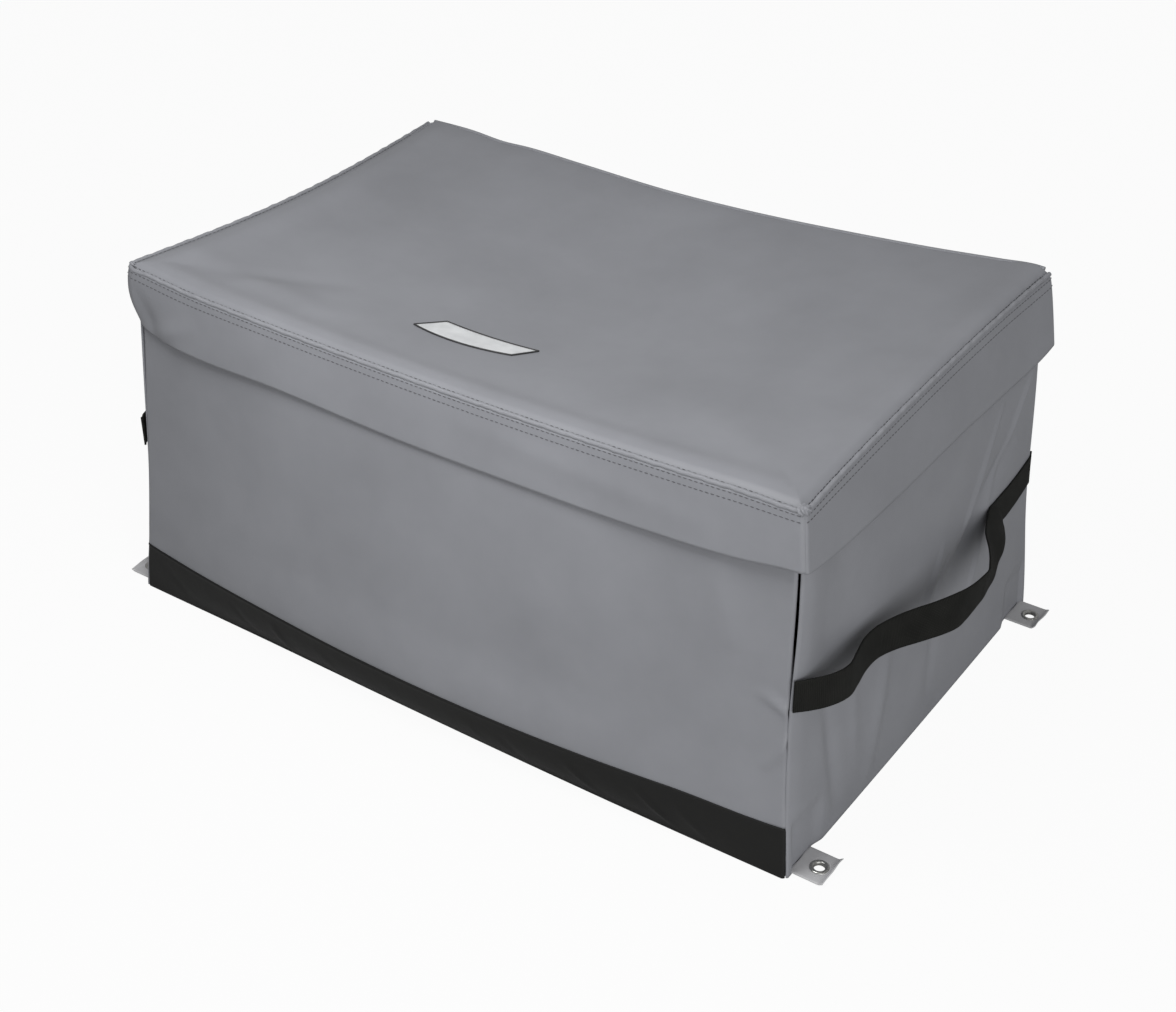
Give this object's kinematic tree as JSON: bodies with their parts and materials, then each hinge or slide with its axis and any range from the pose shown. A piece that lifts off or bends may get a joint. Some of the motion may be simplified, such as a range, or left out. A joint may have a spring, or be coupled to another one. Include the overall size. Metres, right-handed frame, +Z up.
{
  "type": "dock box",
  "caption": "Soft-sided dock box of grey coated cloth on a tube frame, with a cap-like hinged lid, webbing handles and grommet tabs at its corners.",
  "frame": {"origin": "on the dock, under the middle of the box", "axes": "+X to the right along the long front, -Y out of the front, +Z up"},
  "size_m": [1.03, 0.6584, 0.4422],
  "materials": {
    "grey_cloth": "PVC-coated polyester, satin",
    "grey_piping": "PVC piping, satin",
    "black_cloth": "PVC-coated polyester, satin",
    "black_webbing": "ribbed polypropylene webbing, matt",
    "tab_cloth": "folded PVC-coated polyester, satin",
    "grommet_metal": "bright",
    "label_cloth": "woven label, bare",
    "hook_and_loop": "nylon hook and loop tape",
    "board": "moulded polyethylene sheet",
    "frame_tube": "mill finish",
    "moulding": "moulded nylon",
    "screw_steel": "bright"
  },
  "bodies": {
    "tub": {"back_band": "grey_cloth", "back_base_strip": "black_cloth", "back_left_block": "moulding", "back_left_foot_socket": "moulding", "back_left_post": "frame_tube", "back_left_welt": "grey_piping", "back_rail": "frame_tube", "back_right_block": "moulding", "back_right_foot_socket": "moulding", "back_right_post": "frame_tube", "back_right_welt": "grey_piping", "back_wall": "grey_cloth", "base_board": "board", "floor_panel": "grey_cloth", "front_base_strip": "black_cloth", "front_left_block": "moulding", "front_left_foot_socket": "moulding", "front_left_post": "frame_tube", "front_left_welt": "grey_piping", "front_loop_tape": "hook_and_loop", "front_rail": "frame_tube", "front_right_block": "moulding", "front_right_foot_socket": "moulding", "front_right_post": "frame_tube", "front_right_welt": "grey_piping", "front_wall": "grey_cloth", "hinge_welt": "grey_piping", "left_handle_back_end": "black_webbing", "left_handle_front_end": "black_webbing", "left_loop_tape": "hook_and_loop", "left_rail": "frame_tube", "left_wall": "grey_cloth", "right_handle_back_end": "black_webbing", "right_handle_front_end": "black_webbing", "right_loop_tape": "hook_and_loop", "right_rail": "frame_tube", "right_wall": "grey_cloth", "socket_screws": "screw_steel"},
    "lid": {"lid_top": "grey_cloth", "lid_welt": "grey_piping", "front_skirt": "grey_cloth", "left_skirt": "grey_cloth", "right_skirt": "grey_cloth", "front_hook_tape": "hook_and_loop", "left_hook_tape": "hook_and_loop", "right_hook_tape": "hook_and_loop", "label_patch": "label_cloth"},
    "right_handle": {"right_handle_grip": "black_webbing"},
    "left_handle": {"left_handle_grip": "black_webbing"},
    "front_left_tie_down": {"front_left_tab": "tab_cloth", "front_left_grommet": "grommet_metal"},
    "front_right_tie_down": {"front_right_tab": "tab_cloth", "front_right_grommet": "grommet_metal"},
    "back_left_tie_down": {"back_left_tab": "tab_cloth", "back_left_grommet": "grommet_metal"},
    "back_right_tie_down": {"back_right_tab": "tab_cloth", "back_right_grommet": "grommet_metal"}
  },
  "joints": [
    {"name": "lid_hinge", "type": "hinge", "parent": "tub", "child": "lid", "pos_m": [0, 0.278, 0.4345], "axis": [-1, 0, 0], "range_deg": [0, 225]},
    {"name": "right_handle_lift", "type": "hinge", "parent": "tub", "child": "right_handle", "pos_m": [0.45386, 0, 0.208], "axis": [0, -1, 0], "range_deg": [0, 50]},
    {"name": "left_handle_lift", "type": "hinge", "parent": "tub", "child": "left_handle", "pos_m": [-0.45386, 0, 0.208], "axis": [0, 1, 0], "range_deg": [0, 50]},
    {"name": "front_left_tab_fold", "type": "hinge", "parent": "tub", "child": "front_left_tie_down", "pos_m": [-0.4573, -0.2662, 0.00355], "axis": [0, 1, 0], "range_deg": [0, 80]},
    {"name": "front_right_tab_fold", "type": "hinge", "parent": "tub", "child": "front_right_tie_down", "pos_m": [0.4573, -0.2662, 0.00355], "axis": [0, -1, 0], "range_deg": [0, 80]},
    {"name": "back_left_tab_fold", "type": "hinge", "parent": "tub", "child": "back_left_tie_down", "pos_m": [-0.4573, 0.2662, 0.00355], "axis": [0, 1, 0], "range_deg": [0, 80]},
    {"name": "back_right_tab_fold", "type": "hinge", "parent": "tub", "child": "back_right_tie_down", "pos_m": [0.4573, 0.2662, 0.00355], "axis": [0, -1, 0], "range_deg": [0, 80]}
  ]
}
